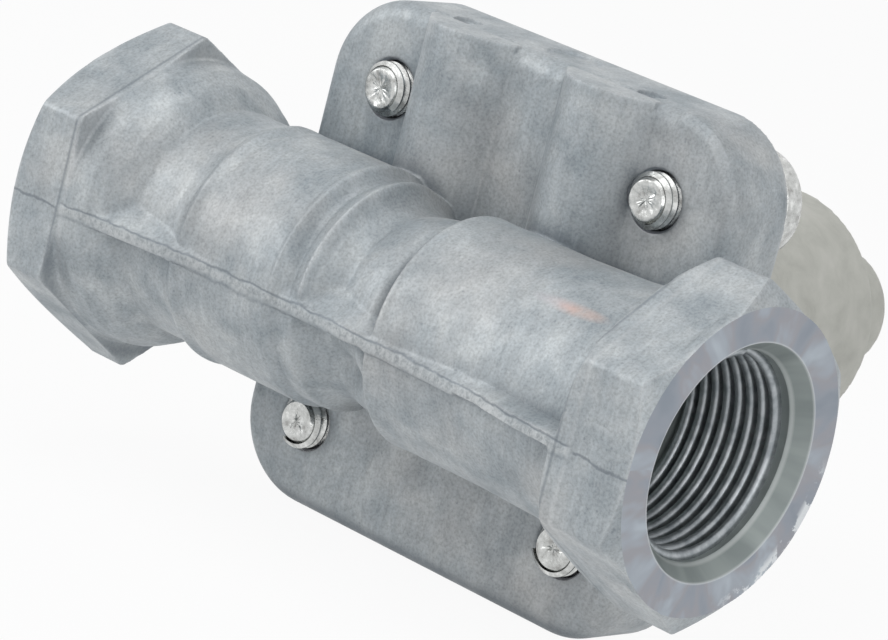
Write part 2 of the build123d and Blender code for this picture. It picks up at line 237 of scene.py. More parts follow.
def newMaterial(name):
    made = bpy.data.materials.new(name)
    made.use_nodes = True
    tree = made.node_tree
    shader = tree.nodes["Principled BSDF"]
    place = putNode(tree, "ShaderNodeTexCoord").outputs["Object"]
    return made, tree, shader, place


def finishShader(tree, shader, colour=None, roughness=None, height=None, depth=0.00002, strength=1.0, **plain):
    if colour is not None:
        tree.links.new(colour, shader.inputs["Base Color"])
    if roughness is not None:
        tree.links.new(roughness, shader.inputs["Roughness"])
    if height is not None:
        bump = putNode(tree, "ShaderNodeBump", {"Height": height, "Distance": depth, "Strength": strength})
        tree.links.new(bump.outputs["Normal"], shader.inputs["Normal"])
    for name, value in plain.items():
        shader.inputs[name.replace("_", " ")].default_value = value


def stepMask(tree, value, start, end):  # 0 before start, 1 after end, both in millimetres
    return putNode(tree, "ShaderNodeMapRange", {
        "Value": value, "From Min": start * mm, "From Max": end * mm}).outputs["Result"]


def bandMask(tree, value, centre, halfWidth, soft):
    away = mathNode(tree, "ABSOLUTE", mathNode(tree, "SUBTRACT", value, centre * mm))
    return putNode(tree, "ShaderNodeMapRange", {
        "Value": away, "From Min": (halfWidth + soft) * mm, "From Max": halfWidth * mm}).outputs["Result"]


bodyFinish = {
    "dark": (0.33, 0.37, 0.395),
    "middle": (0.42, 0.455, 0.475),
    "light": (0.51, 0.54, 0.55),
    "edge": (0.78, 0.79, 0.79),
    "hollow": (0.15, 0.175, 0.20),
    "stain": (0.48, 0.45, 0.425),
    "tint": (0.86, 0.50, 0.36),
    "tintPaleHighlight": (0.70, 0.60, 0.66),
    "tintPlace": (68.5, -8.2, 9.8),
    "web": (0.62, 0.64, 0.645),
    "metallic": 0.36,
    "patchScale": 170.0,
    "grainScale": 3400.0,
    "grainDepth": 0.000012,
}


def makeBodyMetal():
    made, tree, shader, place = newMaterial("castBodyMetal")
    parts = putNode(tree, "ShaderNodeSeparateXYZ", {"Vector": place})
    x, y, z = (parts.outputs[axis] for axis in "XYZ")
    skin = putNode(tree, "ShaderNodeGroup", node_tree=castSkin)
    tree.links.new(place, skin.inputs["Vector"])
    skin.inputs["Patch Scale"].default_value = bodyFinish["patchScale"]
    skin.inputs["Grain Scale"].default_value = bodyFinish["grainScale"]
    shadeAndHighlight = putNode(tree, "ShaderNodeGroup", node_tree=hollowShadeAndEdgeHighlight)
    tree.links.new(place, shadeAndHighlight.inputs["Vector"])
    colour = rampNode(tree, skin.outputs["Patches"], [
        (0.34, bodyFinish["dark"]), (0.5, bodyFinish["middle"]), (0.66, bodyFinish["light"])])
    drawn = putNode(tree, "ShaderNodeMapping", {"Vector": place, "Scale": (1.0, 0.35, 0.12)})
    streaks = noiseNode(tree, drawn.outputs["Vector"], 1400.0, 4.0, 0.65)
    streakTone = rampNode(tree, streaks, [(0.36, (0.8, 0.8, 0.8)), (0.64, (1.18, 1.18, 1.18))])
    colour = mixColour(tree, 0.35, colour, streakTone, "MULTIPLY")
    broad = noiseNode(tree, place, 55.0, 3.0, 0.5)
    stain = putNode(tree, "ShaderNodeMapRange", {"Value": broad, "From Min": 0.52, "From Max": 0.75, "To Max": 0.4})
    colour = mixColour(tree, stain.outputs["Result"], colour, bodyFinish["stain"])
    speck = rampNode(tree, skin.outputs["Grain"], [
        (0.34, (0.78, 0.78, 0.78)), (0.5, (1, 1, 1)), (0.68, (1.15, 1.15, 1.15))])
    colour = mixColour(tree, 0.8, colour, speck, "MULTIPLY")
    spots = putNode(tree, "ShaderNodeTexVoronoi", {"Vector": place, "Scale": 1100.0, "Randomness": 1.0})
    spotMask = putNode(tree, "ShaderNodeMapRange", {
        "Value": spots.outputs["Distance"], "From Min": 0.20, "From Max": 0.10}).outputs["Result"]
    sparse = stepMask(tree, mathNode(tree, "MULTIPLY", noiseNode(tree, place, 420.0, 2.0, 0.5), mm), 0.5, 0.62)
    colour = mixColour(tree, mathNode(tree, "MULTIPLY", mathNode(tree, "MULTIPLY", spotMask, sparse), 0.35),
                       colour, bodyFinish["hollow"])
    # a warm stain runs along the outlet tube; its pale whitish-pink end towards the inlet is painted highlight
    fromTint = putNode(tree, "ShaderNodeVectorMath", {
        0: place, 1: tuple(n * mm for n in bodyFinish["tintPlace"])}, operation="SUBTRACT")
    flat = putNode(tree, "ShaderNodeVectorMath", {0: fromTint.outputs["Vector"], 1: (0.16, 1.0, 1.0)}, operation="MULTIPLY")
    tintAway = putNode(tree, "ShaderNodeVectorMath", {0: flat.outputs["Vector"]}, operation="LENGTH")
    tintBreak = noiseNode(tree, place, 500.0, 3.0, 0.6)
    tintMask = mathNode(tree, "MULTIPLY", stepMask(tree, tintAway.outputs["Value"], 1.0, 0.1), tintBreak)
    warm = stepMask(tree, x, bodyFinish["tintPlace"][0] - 4.0, bodyFinish["tintPlace"][0] + 0.5)
    tintTone = mixColour(tree, warm, bodyFinish["tintPaleHighlight"], bodyFinish["tint"])
    colour = mixColour(tree, tintMask, colour, tintTone)
    # painted shade darkens the hollows, then painted highlight lightens the outer edges
    hollowMask = mathNode(tree, "MULTIPLY", shadeAndHighlight.outputs["Hollow"], 0.75)
    colour = mixColour(tree, hollowMask, colour, bodyFinish["hollow"])
    colour = mixColour(tree, shadeAndHighlight.outputs["Edge"], colour, bodyFinish["edge"])
    front = mathNode(tree, "MULTIPLY", stepMask(tree, y, -9.0, -11.0), bandMask(tree, x, 41.4, 36.0, 0.6))
    wander = mathNode(tree, "MULTIPLY", mathNode(tree, "SUBTRACT", noiseNode(tree, place, 330.0, 4.0, 0.6), 0.5), 0.0011)
    bandZ = mathNode(tree, "ADD", z, wander)
    chatter = noiseNode(tree, putNode(tree, "ShaderNodeMapping", {
        "Vector": place, "Scale": (1.6, 0.6, 1.0)}).outputs["Vector"], 1300.0, 5.0, 0.8)
    band = mathNode(tree, "MULTIPLY", front, bandMask(tree, bandZ, valve["partingZ"], 0.26, 0.30))
    bandTone = rampNode(tree, chatter, [
        (0.36, (0.20, 0.22, 0.24)), (0.47, (0.42, 0.45, 0.46)), (0.56, bodyFinish["web"])])
    colour = mixColour(tree, mathNode(tree, "MULTIPLY", band, 0.55), colour, bandTone)
    # dark lines along the parting seam above and below the web and across the hexagon flats: partly the seam itself,
    # partly painted shade of the small step there
    seamTop = bandMask(tree, bandZ, valve["partingZ"] + 0.62, 0.04, 0.16)
    seamLow = mathNode(tree, "MULTIPLY", bandMask(tree, bandZ, valve["partingZ"] - 0.78, 0.05, 0.25), 0.6)
    seamMask = mathNode(tree, "MULTIPLY", mathNode(tree, "MAXIMUM", seamTop, seamLow), front)
    outside = mathNode(tree, "SUBTRACT", 1.0, bandMask(tree, x, 41.4, 36.6, 0.4))
    hexSeam = mathNode(tree, "MULTIPLY", mathNode(tree, "MULTIPLY", outside, stepMask(tree, y, -12.0, -14.0)),
                       bandMask(tree, bandZ, valve["partingZ"], 0.06, 0.14))
    seamMask = mathNode(tree, "MULTIPLY", mathNode(tree, "MAXIMUM", seamMask, hexSeam), 0.62)
    colour = mixColour(tree, seamMask, colour, bodyFinish["hollow"])
    radius = putNode(tree, "ShaderNodeVectorMath", {0: putNode(tree, "ShaderNodeCombineXYZ", {"Y": y, "Z": z})
                                                    .outputs["Vector"]}, operation="LENGTH").outputs["Value"]
    for root, pale, innerR in ((4.75, 5.5, 15.2), (75.95, 77.6, 13.8)):  # where each hexagon meets the tube: a dark line there is painted shade in the corner, and the pale band just beyond it on the hexagon is painted highlight
        onHex = stepMask(tree, radius, innerR, innerR + 0.6)
        dark = mathNode(tree, "MULTIPLY", mathNode(tree, "MULTIPLY", bandMask(tree, x, root, 0.06, 0.22), onHex), 0.5)
        colour = mixColour(tree, dark, colour, bodyFinish["hollow"])
        wearAndHighlight = mathNode(tree, "MULTIPLY", mathNode(tree, "MULTIPLY", bandMask(tree, x, pale, 0.1, 0.3), onHex), 0.3)
        colour = mixColour(tree, mathNode(tree, "MULTIPLY", wearAndHighlight, skin.outputs["Patches"]), colour, bodyFinish["edge"])
    rough = putNode(tree, "ShaderNodeMapRange", {
        "Value": skin.outputs["Patches"], "From Min": 0.3, "From Max": 0.7, "To Min": 0.6, "To Max": 0.42})
    chips = mathNode(tree, "MULTIPLY", mathNode(tree, "MULTIPLY", band, chatter), 7.0)
    height = mathNode(tree, "SUBTRACT", mathNode(tree, "ADD", skin.outputs["Height"], chips),
                      mathNode(tree, "MULTIPLY", seamMask, 3.0))
    finishShader(tree, shader, colour, rough.outputs["Result"], height,
                 bodyFinish["grainDepth"], 0.7, Metallic=bodyFinish["metallic"])
    return made


def makeMachinedMetal():  # turned port faces: rings round the bore and faint coloured sectors
    made, tree, shader, place = newMaterial("turnedPortMetal")
    parts = putNode(tree, "ShaderNodeSeparateXYZ", {"Vector": place})
    y, z = parts.outputs["Y"], parts.outputs["Z"]
    radius = mathNode(tree, "SQRT", mathNode(tree, "ADD", mathNode(tree, "MULTIPLY", y, y),
                                             mathNode(tree, "MULTIPLY", z, z)))
    angle = mathNode(tree, "ARCTAN2", z, y)
    sectorPlace = putNode(tree, "ShaderNodeCombineXYZ", {
        "X": mathNode(tree, "MULTIPLY", angle, 1.0), "Y": mathNode(tree, "MULTIPLY", radius, 40.0)})
    sectors = noiseNode(tree, sectorPlace.outputs["Vector"], 2.6, 3.0, 0.55, 0.4)
    colour = rampNode(tree, sectors, [
        (0.30, (0.29, 0.33, 0.38)), (0.42, (0.34, 0.37, 0.42)), (0.5, (0.38, 0.38, 0.41)),
        (0.58, (0.41, 0.45, 0.50)), (0.70, (0.52, 0.58, 0.63))])
    sink = rampNode(tree, sectors, [(0.35, (0.25, 0.285, 0.28)), (0.65, (0.36, 0.40, 0.39))])
    colour = mixColour(tree, stepMask(tree, radius, 12.46, 12.34), colour, sink)
    # painted highlight: bright lines along the outer and inner edges of the countersink
    rim = bandMask(tree, radius, 12.42, 0.03, 0.12)
    colour = mixColour(tree, mathNode(tree, "MULTIPLY", rim, 0.6), colour, (0.72, 0.75, 0.76))
    inside = bandMask(tree, radius, 11.15, 0.05, 0.15)
    colour = mixColour(tree, mathNode(tree, "MULTIPLY", inside, 0.5), colour, (0.62, 0.65, 0.64))
    lowSide = mathNode(tree, "MULTIPLY", stepMask(tree, y, 3.0, 8.0), stepMask(tree, z, 0.0, -4.0))
    torn = stepMask(tree, mathNode(tree, "MULTIPLY", noiseNode(tree, place, 300.0, 5.0, 0.7), mm), 0.52, 0.56)
    wearAndHighlight = mathNode(tree, "MULTIPLY", mathNode(tree, "MULTIPLY", stepMask(tree, radius, 14.4, 15.2), lowSide), torn)
    colour = mixColour(tree, wearAndHighlight, colour, (0.80, 0.83, 0.85))
    ringPlace = putNode(tree, "ShaderNodeCombineXYZ", {"X": mathNode(tree, "MULTIPLY", radius, 1.0)})
    rings = noiseNode(tree, ringPlace.outputs["Vector"], 5200.0, 2.0, 0.6)
    finishShader(tree, shader, colour, None, rings, 0.000006, 0.6, Metallic=0.45, Roughness=0.45)
    return made


def makeThreadMetal():
    made, tree, shader, place = newMaterial("portThreadMetal")
    cloud = noiseNode(tree, place, 700.0, 4.0, 0.6)
    colour = rampNode(tree, cloud, [(0.35, (0.30, 0.33, 0.35)), (0.6, (0.50, 0.53, 0.55))])
    finishShader(tree, shader, colour, None, cloud, 0.00001, 0.4, Metallic=0.7, Roughness=0.4)
    return made


def makeBonnetMetal():
    made, tree, shader, place = newMaterial("bonnetMetal")
    skin = putNode(tree, "ShaderNodeGroup", node_tree=castSkin)
    tree.links.new(place, skin.inputs["Vector"])
    skin.inputs["Patch Scale"].default_value = 260.0
    skin.inputs["Grain Scale"].default_value = 4200.0
    colour = rampNode(tree, skin.outputs["Patches"], [
        (0.3, (0.50, 0.50, 0.455)), (0.5, (0.57, 0.57, 0.52)), (0.7, (0.63, 0.625, 0.575))])
    finishShader(tree, shader, colour, None, skin.outputs["Height"], 0.00002, 0.4, Metallic=0.25, Roughness=0.62)
    return made


def makePlatedSteel():
    made, tree, shader, place = newMaterial("platedSteel")
    cloud = noiseNode(tree, place, 900.0, 5.0, 0.65)
    colour = rampNode(tree, cloud, [
        (0.36, (0.36, 0.36, 0.35)), (0.46, (0.50, 0.51, 0.50)), (0.56, (0.58, 0.59, 0.58)), (0.68, (0.74, 0.75, 0.74))])
    rough = putNode(tree, "ShaderNodeMapRange", {
        "Value": cloud, "From Min": 0.3, "From Max": 0.7, "To Min": 0.34, "To Max": 0.16})
    finishShader(tree, shader, colour, rough.outputs["Result"], cloud, 0.00008, 0.8, Metallic=1.0)
    return made


def makeSpeckled(name, dark, light, scale, roughness, metallic, depth):
    made, tree, shader, place = newMaterial(name)
    cloud = noiseNode(tree, place, scale, 4.0, 0.6)
    colour = rampNode(tree, cloud, [(0.35, dark), (0.65, light)])
    finishShader(tree, shader, colour, None, cloud, depth, 0.5, Metallic=metallic, Roughness=roughness)
    return made


bodyMetal = makeBodyMetal()
machinedMetal = makeMachinedMetal()
threadMetal = makeThreadMetal()
bonnetMetal = makeBonnetMetal()
platedSteel = makePlatedSteel()
springSteel = makeSpeckled("springSteel", (0.16, 0.17, 0.18), (0.3, 0.31, 0.32), 800.0, 0.4, 0.9, 0.00001)
blackRubber = makeSpeckled("blackRubber", (0.02, 0.02, 0.02), (0.05, 0.05, 0.05), 1500.0, 0.7, 0.0, 0.00001)
turnedBrass = makeSpeckled("turnedBrass", (0.5, 0.36, 0.16), (0.66, 0.5, 0.26), 600.0, 0.32, 1.0, 0.000005)
plateMetal = makeSpeckled("plateMetal", (0.42, 0.43, 0.44), (0.6, 0.61, 0.62), 700.0, 0.42, 0.9, 0.00001)
plugPlastic = makeSpeckled("plugPlastic", (0.45, 0.45, 0.41), (0.53, 0.53, 0.49), 2500.0, 0.6, 0.0, 0.00001)
print("materials ready")


# The casting

cast = {
    "voxel": 0.19,
    "smoothRounds": 2,
    "faces": 185000,
    "lowerHalfShift": -0.55,
    "bodySegments": 128,
    "facingCut": 0.14,
    "faceR": 16.0,
    "coneDepth": 1.75,
    "coneR": 18.75,
    "screwHoleR": 3.12,
}


def mergedCopy(name, node):
    work = bmesh.new()
    work.from_mesh(node.data)
    bmesh.ops.remove_doubles(work, verts=work.verts, dist=1e-6)
    return work


def portTool(work, faceX, wayIn):  # what the lathe takes out of a port
    start = faceX + wayIn * valve["threadStartDepth"]
    end = start + wayIn * valve["threadLength"]
    face = faceX + wayIn * cast["facingCut"]
    out = faceX - wayIn * 6
    rings = turnedShape(work, [
        (end, 0), (end, valve["threadR"]), (start, valve["threadR"]), (face, valve["mouthR"]), (face, cast["faceR"]),
        (face + wayIn * cast["coneDepth"], cast["coneR"]), (face + wayIn * cast["coneDepth"], 26),
        (out, 26), (out, 0)], "x", cast["bodySegments"])
    work.verts.index_update()
    cone = set(rings[4] + rings[5])
    for face in work.faces:
        if all(vert in cone for vert in face.verts):
            face.material_index = 1


def screwPlaces():
    half = valve["screwHalfPitch"]
    return [(valve["bonnetAxisX"] + sx * half, sz * half) for sz in (1, -1) for sx in (-1, 1)]


tubeSkin = {  # the outside of the flow tube, along the flow line and away from it in mm
    "outletX": [61.0, 68.0, 74.6, 75.3, 75.9, 76.7],
    "outletR": [12.72, 12.95, 13.5, 14.3, 16.6, 20.0],
    "coreR": 9.6,
    "flangeStart": 8.6,
    "flangeEnd": 9.5,
    "ridges": [(20.4, 0.32, 0.55, 1), (22.0, -0.12, 0.5, 1), (34.0, 0.28, 0.5, 0), (35.7, -0.30, 0.6, 0),
               (37.5, 0.34, 0.55, 0), (47.0, -0.55, 0.7, 1), (48.3, 0.12, 0.4, 1)],  # place, height, width, all round
    "pocket": (42.8, -9.3, -6.4, 2.3, 2.6),  # x, y, z, depth and reach of the hollow below the web
}


def shapeTube(spots):  # moves the tube's skin radially: straight runs into the hexagons, ridges and a pocket
    x, y, z = spots[:, 0], spots[:, 1], spots[:, 2]
    radius = np.hypot(y, z)
    above = z - valve["partingZ"]
    nearWeb = np.clip((1.7 - np.where(above > 0, above, -1.9 * above)) / 0.9, 0, 1) * np.clip((-8 - y) / 2, 0, 1)
    offFlange = np.clip((tubeSkin["flangeEnd"] - y) / (tubeSkin["flangeEnd"] - tubeSkin["flangeStart"]), 0, 1)
    skin = np.clip((radius - tubeSkin["coreR"]) / 0.3, 0, 1) * offFlange * (1 - nearWeb)
    limit = np.interp(x, tubeSkin["outletX"], tubeSkin["outletR"], left=99, right=99)
    move = np.minimum(limit - radius, 0)
    onTube = np.clip((14.2 - radius) / 0.5, 0, 1) * np.clip((4.5 - y) / 4, 0, 1)
    upper = np.clip(above / 2, 0, 1)
    for place, height, width, allRound in tubeSkin["ridges"]:
        move = move + height * np.exp(-((x - place) / width) ** 2) * onTube * (1 if allRound else upper)
    px, py, pz, depth, reach = tubeSkin["pocket"]
    away = ((x - px) ** 2 + (y - py) ** 2 + (z - pz) ** 2) / reach ** 2
    move = move - depth * np.exp(-away)
    keep = (radius + move * skin) / np.maximum(radius, 1e-6)
    spots[:, 1] *= keep
    spots[:, 2] *= keep


def makeCastBody():
    work = mergedCopy("castBody", nodes["valve_body"])
    for faceX, wayIn in ((valve["inletFaceX"], 1), (valve["outletFaceX"], -1)):  # the ports are filled first
        end = faceX + wayIn * (valve["threadStartDepth"] + valve["threadLength"] - 0.2)
        turnedShape(work, [(faceX, 0), (faceX, 12.9), (end, 12.0), (end, 0)], "x", 64)
        ring = faceX + wayIn * 1.2
        turnedShape(work, [(faceX, 0), (faceX, cast["faceR"]), (ring, cast["faceR"]), (ring, 0)], "x", 128)
    outward(work)
    body = linkNew("castBody", meshFromBm("castBody", work))
    remesh = body.modifiers.new("voxels", "REMESH")
    remesh.mode = "VOXEL"
    remesh.voxel_size = cast["voxel"] * mm
    soften = body.modifiers.new("soften", "SMOOTH")
    soften.factor = 0.5
    soften.iterations = cast["smoothRounds"]
    bakeModifiers(body)
    print("cast body remeshed:", len(body.data.polygons), "faces")
    count = len(body.data.vertices)
    spots = np.empty(count * 3, np.float32)
    body.data.vertices.foreach_get("co", spots)
    spots = spots.reshape(-1, 3) / mm
    shapeTube(spots)
    below = np.clip((valve["partingZ"] + 0.25 - spots[:, 2]) / 0.5, 0, 1)  # the lower mould half sat a little off
    nearTube = np.clip((valve["flangeFrontY"] + 1 - spots[:, 1]) / 2, 0, 1)
    offFace = np.clip((83.0 - spots[:, 0]) / 4, 0, 1)  # the machined outlet face is flush again
    spots[:, 0] += cast["lowerHalfShift"] * below * nearTube * offFace
    body.data.vertices.foreach_set("co", (spots * mm).astype(np.float32).ravel())
    thin = body.modifiers.new("thin", "DECIMATE")
    thin.ratio = min(1.0, cast["faces"] / (2 * len(body.data.polygons)))
    bakeModifiers(body)
    work = bmesh.new()
    portTool(work, valve["inletFaceX"], 1)
    portTool(work, valve["outletFaceX"], -1)
    front = valve["flangeFrontY"]
    for x, z in screwPlaces():
        turnedShape(work, [
            (front - 4, 0), (front - 4, cast["screwHoleR"] + 0.25), (front + 0.1, cast["screwHoleR"] + 0.25),
            (front + 0.4, cast["screwHoleR"]), (front + 9.2, cast["screwHoleR"]), (front + 9.2, 0)],
            "y", 48, (x, 0, z))
    outward(work)
    tool = linkNew("latheTool", meshFromBm("latheTool", work))
    tool.data.materials.append(machinedMetal)
    tool.data.materials.append(bodyMetal)
    body.data.materials.clear()
    body.data.materials.append(bodyMetal)
    cut = body.modifiers.new("machining", "BOOLEAN")
    cut.operation = "DIFFERENCE"
    cut.solver = "EXACT"
    cut.material_mode = "TRANSFER"
    cut.object = tool
    bakeModifiers(body)
    dropObject(tool)
    body.data.polygons.foreach_set("use_smooth", [True] * len(body.data.polygons))
    body.data.set_sharp_from_angle(angle=math.radians(32))
    print("cast body cut:", len(body.data.polygons), "faces", [m.name for m in body.data.materials])
    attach(body, "housing")
    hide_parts("valve_body")
    return body


castBody = makeCastBody()


def makeCastBonnet():
    bonnet = linkNew("castBonnet", meshFromBm("castBonnet", mergedCopy("castBonnet", nodes["bonnet"])))
    remesh = bonnet.modifiers.new("voxels", "REMESH")
    remesh.mode = "VOXEL"
    remesh.voxel_size = 0.55 * mm
    soften = bonnet.modifiers.new("soften", "SMOOTH")
    soften.factor = 0.5
    soften.iterations = 4
    bakeModifiers(bonnet)
    thin = bonnet.modifiers.new("thin", "DECIMATE")
    thin.ratio = 0.5
    bakeModifiers(bonnet)
    bonnet.data.materials.clear()
    bonnet.data.materials.append(bonnetMetal)
    bonnet.data.polygons.foreach_set("use_smooth", [True] * len(bonnet.data.polygons))
    print("bonnet:", len(bonnet.data.polygons), "faces")
    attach(bonnet, "housing")
    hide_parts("bonnet")
    return bonnet


castBonnet = makeCastBonnet()


# Threads, one Geometry Nodes tree for the ports and the screws

def makeThreadTree():
    tree = bpy.data.node_groups.new("screwThread", "GeometryNodeTree")
    for label, kind, value in (("Turns", "NodeSocketFloat", 8.0), ("Pitch", "NodeSocketFloat", 0.0015),
                               ("Root Radius", "NodeSocketFloat", 0.011), ("Crest Height", "NodeSocketFloat", -0.0008),
                               ("Root Width", "NodeSocketFloat", 0.0014), ("Crest Width", "NodeSocketFloat", 0.0003),
                               ("Steps", "NodeSocketInt", 48), ("Metal", "NodeSocketMaterial", None)):
        socket = tree.interface.new_socket(label, in_out="INPUT", socket_type=kind)
        if value is not None:
            socket.default_value = value
    tree.interface.new_socket("Geometry", in_out="OUTPUT", socket_type="NodeSocketGeometry")
    given = tree.nodes.new("NodeGroupInput").outputs
    result = tree.nodes.new("NodeGroupOutput")

    def half(socket):
        return putNode(tree, "ShaderNodeMath", {0: socket, 1: 0.5}, operation="MULTIPLY").outputs[0]

    def minus(socket):
        return putNode(tree, "ShaderNodeMath", {0: socket, 1: -1.0}, operation="MULTIPLY").outputs[0]

    height = putNode(tree, "ShaderNodeMath", {0: given["Turns"], 1: given["Pitch"]}, operation="MULTIPLY").outputs[0]
    spiral = putNode(tree, "GeometryNodeCurveSpiral", {
        "Resolution": given["Steps"], "Rotations": given["Turns"], "Start Radius": given["Root Radius"],
        "End Radius": given["Root Radius"], "Height": height})
    upright = putNode(tree, "GeometryNodeSetCurveNormal", {"Curve": spiral.outputs["Curve"]}, mode="Z_UP")
    corners = []
    for x, y in ((0, half(given["Root Width"])), (given["Crest Height"], half(given["Crest Width"])),
                 (given["Crest Height"], minus(half(given["Crest Width"]))), (0, minus(half(given["Root Width"])))):
        corners.append(putNode(tree, "ShaderNodeCombineXYZ", {"X": x, "Y": y}).outputs["Vector"])
    profile = putNode(tree, "GeometryNodeCurvePrimitiveQuadrilateral", {
        "Point 1": corners[0], "Point 2": corners[1], "Point 3": corners[2], "Point 4": corners[3]}, mode="POINTS")
    ridge = putNode(tree, "GeometryNodeCurveToMesh", {
        "Curve": upright.outputs["Curve"], "Profile Curve": profile.outputs["Curve"], "Fill Caps": True})
    real = putNode(tree, "GeometryNodeRealizeInstances", {"Geometry": ridge.outputs["Mesh"]})
    coloured = putNode(tree, "GeometryNodeSetMaterial", {"Geometry": real.outputs["Geometry"], "Material": given["Metal"]})
    tree.links.new(coloured.outputs["Geometry"], result.inputs["Geometry"])
    return tree


threadTree = makeThreadTree()


def treeInput(tree, label):
    for item in tree.interface.items_tree:
        if item.item_type == "SOCKET" and item.in_out == "INPUT" and item.name == label:
            return item.identifier
    raise KeyError(label)


def grownFromTree(name, tree, values):
    made = linkNew(name, bpy.data.meshes.new(name))
    grow = made.modifiers.new("grow", "NODES")
    grow.node_group = tree
    for label, value in values.items():
        grow[treeInput(tree, label)] = value
    return bakeModifiers(made)


portThread = {"turns": 8.1, "pitch": 1.5, "crest": 0.74, "rootWidth": 1.44, "crestWidth": 0.5, "steps": 96}


def makePortThread(name, faceX, wayIn):
    made = grownFromTree(name, threadTree, {
        "Turns": portThread["turns"], "Pitch": portThread["pitch"] * mm,
        "Root Radius": (valve["threadR"] + 0.04) * mm, "Crest Height": (portThread["crest"] + 0.04) * mm,
        "Root Width": portThread["rootWidth"] * mm, "Crest Width": portThread["crestWidth"] * mm,
        "Steps": portThread["steps"], "Metal": threadMetal})
    start = faceX + wayIn * (valve["threadStartDepth"] + 0.45)
    turn = Matrix.Rotation(math.radians(90 * wayIn), 4, "Y")
    made.data.transform(Matrix.Translation(millimetres(start, 0, 0)) @ turn)
    work = bmesh.new()
    work.from_mesh(made.data)
    outward(work)
    work.to_mesh(made.data)
    work.free()
    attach(made, "housing")
    print(name, len(made.data.polygons), "faces", [round(v / mm, 1) for v in made.dimensions])
    return made


inletThread = makePortThread("inletThread", valve["inletFaceX"], 1)
outletThread = makePortThread("outletThread", valve["outletFaceX"], -1)


coverScrew = {
    "tipY": 7.9,
    "seatY": 23.9,
    "headTopY": 27.8,
    "headR": 6.0,
    "coreR": 2.5,
    "crestR": 2.95,
    "pitch": 1.0,
    "turns": 5.6,
    "segments": 48,
    "pits": 0.07,
}


def makeCoverScrew(number, x, z):
    tip, seat, top = coverScrew["tipY"], coverScrew["seatY"], coverScrew["headTopY"]
    headR, core = coverScrew["headR"], coverScrew["coreR"]
    work = bmesh.new()
    profile = [(top - 2.2, 0), (top - 2.2, 2.25, "hex"), (top - 0.1, 2.3, "hex"), (top, 2.75), (top, 4.2),
               (top - 0.15, 4.8), (top - 0.5, 5.35), (top - 1.1, 5.8), (top - 1.7, headR), (seat + 0.15, headR),
               (seat, headR - 0.15), (seat, core + 0.35), (seat - 0.35, core), (tip + 0.7, core), (tip + 0.3, 2.3),
               (tip + 0.05, 2.1), (tip, 1.95), (tip + 0.05, 1.6), (tip + 0.13, 1.2), (tip + 0.16, 0.8),
               (tip + 0.18, 0.4), (tip + 0.18, 0)]
    rings = turnedShape(work, profile, "y", coverScrew["segments"])
    dice = np.random.default_rng(40 + number)
    for ring in rings[-6:]:  # the sheared tip is uneven
        for vert in ring:
            vert.co.y += float(dice.normal(0.0, coverScrew["pits"] * 0.5)) * mm
            vert.co.y = max(vert.co.y, tip * mm)
    outward(work)
    screw = linkNew(f"coverScrew{number}", meshFromBm(f"coverScrew{number}", work))
    screw.data.materials.append(platedSteel)
    ridge = grownFromTree("ridge", threadTree, {
        "Turns": coverScrew["turns"], "Pitch": coverScrew["pitch"] * mm, "Root Radius": (core - 0.04) * mm,
        "Crest Height": (core - 0.04 - coverScrew["crestR"]) * mm, "Root Width": 0.92 * mm,
        "Crest Width": 0.2 * mm, "Steps": 40, "Metal": platedSteel})
    ridge.data.transform(Matrix.Translation(millimetres(0, tip + 0.45, 0)) @ Matrix.Rotation(math.radians(-90), 4, "X"))
    work = bmesh.new()
    work.from_mesh(screw.data)
    work.from_mesh(ridge.data)
    bmesh.ops.remove_doubles(work, verts=work.verts, dist=1e-7)
    bmesh.ops.recalc_face_normals(work, faces=work.faces)
    bmesh.ops.rotate(work, verts=work.verts, cent=(0, 0, 0), matrix=Matrix.Rotation(0.7 * number, 3, "Y"))
    bmesh.ops.translate(work, verts=work.verts, vec=millimetres(x, 0, z))
    work.to_mesh(screw.data)
    work.free()
    dropObject(ridge)
    screw.data.polygons.foreach_set("use_smooth", [True] * len(screw.data.polygons))
    screw.data.set_sharp_from_angle(angle=math.radians(28))
    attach(screw, "housing")
    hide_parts(f"cover_screw_{number}")
    return screw


for number, (x, z) in enumerate(screwPlaces(), 1):
    makeCoverScrew(number, x, z)
print("cover screws ready")


# Springs and diaphragm, which in the real valve change their shape as it moves

def makeCoilTree():
    tree = bpy.data.node_groups.new("springCoil", "GeometryNodeTree")
    for label, kind, value in (("Turns", "NodeSocketFloat", 6.0), ("Coil Radius", "NodeSocketFloat", 0.009),
                               ("Wire Radius", "NodeSocketFloat", 0.001), ("Height", "NodeSocketFloat", 0.03),
                               ("Steps", "NodeSocketInt", 40), ("Metal", "NodeSocketMaterial", None)):
        socket = tree.interface.new_socket(label, in_out="INPUT", socket_type=kind)
        if value is not None:
            socket.default_value = value
    tree.interface.new_socket("Geometry", in_out="OUTPUT", socket_type="NodeSocketGeometry")
    given = tree.nodes.new("NodeGroupInput").outputs
    result = tree.nodes.new("NodeGroupOutput")
    spiral = putNode(tree, "GeometryNodeCurveSpiral", {
        "Resolution": given["Steps"], "Rotations": given["Turns"], "Start Radius": given["Coil Radius"],
        "End Radius": given["Coil Radius"], "Height": given["Height"]})
    wire = putNode(tree, "GeometryNodeCurvePrimitiveCircle", {"Resolution": 12, "Radius": given["Wire Radius"]})
    wound = putNode(tree, "GeometryNodeCurveToMesh", {
        "Curve": spiral.outputs["Curve"], "Profile Curve": wire.outputs["Curve"], "Fill Caps": True})
    real = putNode(tree, "GeometryNodeRealizeInstances", {"Geometry": wound.outputs["Mesh"]})
    coloured = putNode(tree, "GeometryNodeSetMaterial", {"Geometry": real.outputs["Geometry"], "Material": given["Metal"]})
    tree.links.new(coloured.outputs["Geometry"], result.inputs["Geometry"])
    return tree


coilTree = makeCoilTree()

